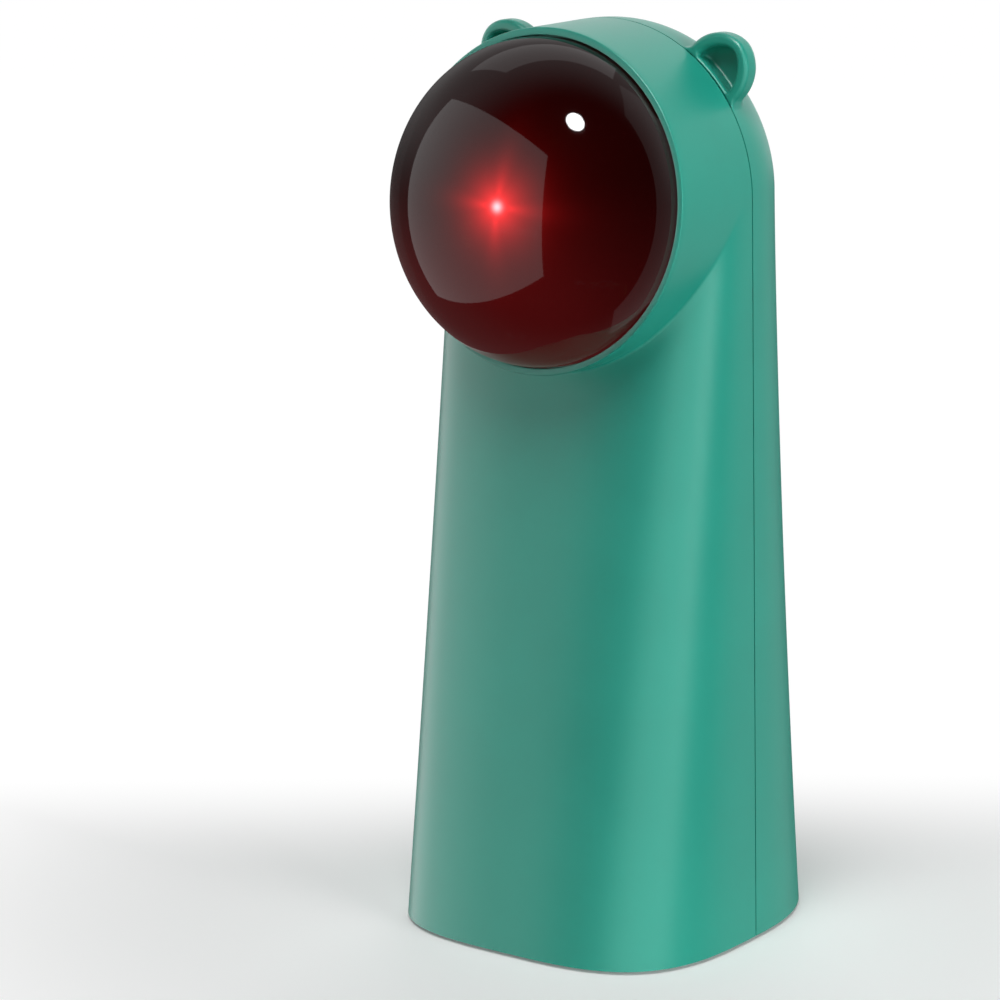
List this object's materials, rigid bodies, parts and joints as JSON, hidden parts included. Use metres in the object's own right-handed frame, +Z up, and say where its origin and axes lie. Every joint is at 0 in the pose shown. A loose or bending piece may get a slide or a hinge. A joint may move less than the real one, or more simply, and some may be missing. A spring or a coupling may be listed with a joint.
{
  "type": "automatic cat laser toy",
  "caption": "Tapered tower with cat ears and a dark round dome, behind which a geared pan and tilt mount swings a small laser; it stands on rubber feet and charges at the back.",
  "frame": {"origin": "middle of the footprint's bounding box, on the surface that the rubber feet stand on", "axes": "+Z up, -Y towards the front where the dome looks, +X to the right as seen from the front"},
  "size_m": [0.0786, 0.0932, 0.2],
  "materials": {
    "shell_green": "satin moulded plastic",
    "base_green": "fine textured moulded plastic",
    "foot_rubber": "matt",
    "screw_steel": "plated steel",
    "dome_red": "polished dark red tinted plastic",
    "frame_black": "black moulded plastic",
    "motor_metal": "bright metal can",
    "shaft_steel": "ground steel",
    "gear_brass": "machined brass",
    "gear_white": "natural nylon",
    "bush_bronze": "sintered bronze",
    "yoke_grey": "dark grey moulded plastic",
    "holder_grey": "dark grey moulded plastic",
    "laser_brass": "turned brass",
    "laser_glass": "clear red tinted lens",
    "board_green": "solder mask over glass fibre",
    "chip_black": "moulded epoxy",
    "socket_metal": "plated steel shell",
    "switch_black": "black plastic",
    "plunger_white": "white plastic",
    "led_white": "clear cast resin",
    "pipe_clear": "clear moulded plastic",
    "cell_blue": "shrink sleeve",
    "cradle_black": "black moulded plastic"
  },
  "bodies": {
    "housing": {"front_shell": "shell_green", "rear_shell": "shell_green", "base_plate": "base_green", "rubber_feet": "foot_rubber", "base_screws": "screw_steel", "back_screws": "screw_steel", "dome": "dome_red", "mechanism_frame": "frame_black", "frame_screws": "screw_steel", "pan_motor": "motor_metal", "motor_screws": "screw_steel", "idler_pin": "shaft_steel", "pan_bush": "bush_bronze", "main_board": "board_green", "board_chips": "chip_black", "board_screws": "screw_steel", "charge_board": "board_green", "charging_socket": "socket_metal", "power_switch": "switch_black", "status_led": "led_white", "light_pipe": "pipe_clear", "battery_cell": "cell_blue", "battery_cradle": "cradle_black"},
    "swing": {"pan_yoke": "yoke_grey", "pan_gear": "gear_white", "pan_spindle": "shaft_steel", "spindle_clip": "screw_steel", "tilt_motor": "motor_metal"},
    "idler": {"idler_gear": "gear_white"},
    "pan_drive": {"pan_pinion": "gear_brass", "pan_motor_shaft": "shaft_steel"},
    "laser": {"laser_holder": "holder_grey", "tilt_gear": "gear_white", "laser_barrel": "laser_brass", "laser_lens": "laser_glass", "laser_driver_board": "board_green"},
    "tilt_drive": {"tilt_pinion": "gear_brass", "tilt_motor_shaft": "shaft_steel"},
    "button": {"power_button": "shell_green", "switch_plunger": "plunger_white"}
  },
  "joints": [
    {"name": "pan_swing", "type": "hinge", "parent": "housing", "child": "swing", "pos_m": [0, -0.02621, 0.16374], "axis": [0, 0.1097, 0.994], "range_deg": [-35, 35]},
    {"name": "idler_spin", "type": "hinge", "parent": "housing", "child": "idler", "pos_m": [0, -0.00932, 0.14085], "axis": [0, 0.1097, 0.994], "range_deg": [-50, 50]},
    {"name": "pan_pinion_spin", "type": "hinge", "parent": "housing", "child": "pan_drive", "pos_m": [0, 0.0027, 0.13952], "axis": [0, 0.1097, 0.994], "range_deg": [-99, 99]},
    {"name": "laser_tilt", "type": "hinge", "parent": "swing", "child": "laser", "pos_m": [0, -0.02549, 0.17033], "axis": [1, 0, 0], "range_deg": [-22, 12]},
    {"name": "tilt_pinion_spin", "type": "hinge", "parent": "swing", "child": "tilt_drive", "pos_m": [0, -0.0269, 0.15751], "axis": [1, 0, 0], "range_deg": [-27, 49]},
    {"name": "power_button_press", "type": "slide", "parent": "housing", "child": "button", "axis": [0, -1, 0], "range_m": [0, 0.0008], "stiffness_N_per_m": 1500}
  ],
  "couplings": [
    {"joint": "idler_spin", "follows": "pan_swing", "ratio": -1.4},
    {"joint": "pan_pinion_spin", "follows": "pan_swing", "ratio": 2.8},
    {"joint": "tilt_pinion_spin", "follows": "laser_tilt", "ratio": -2.2}
  ]
}
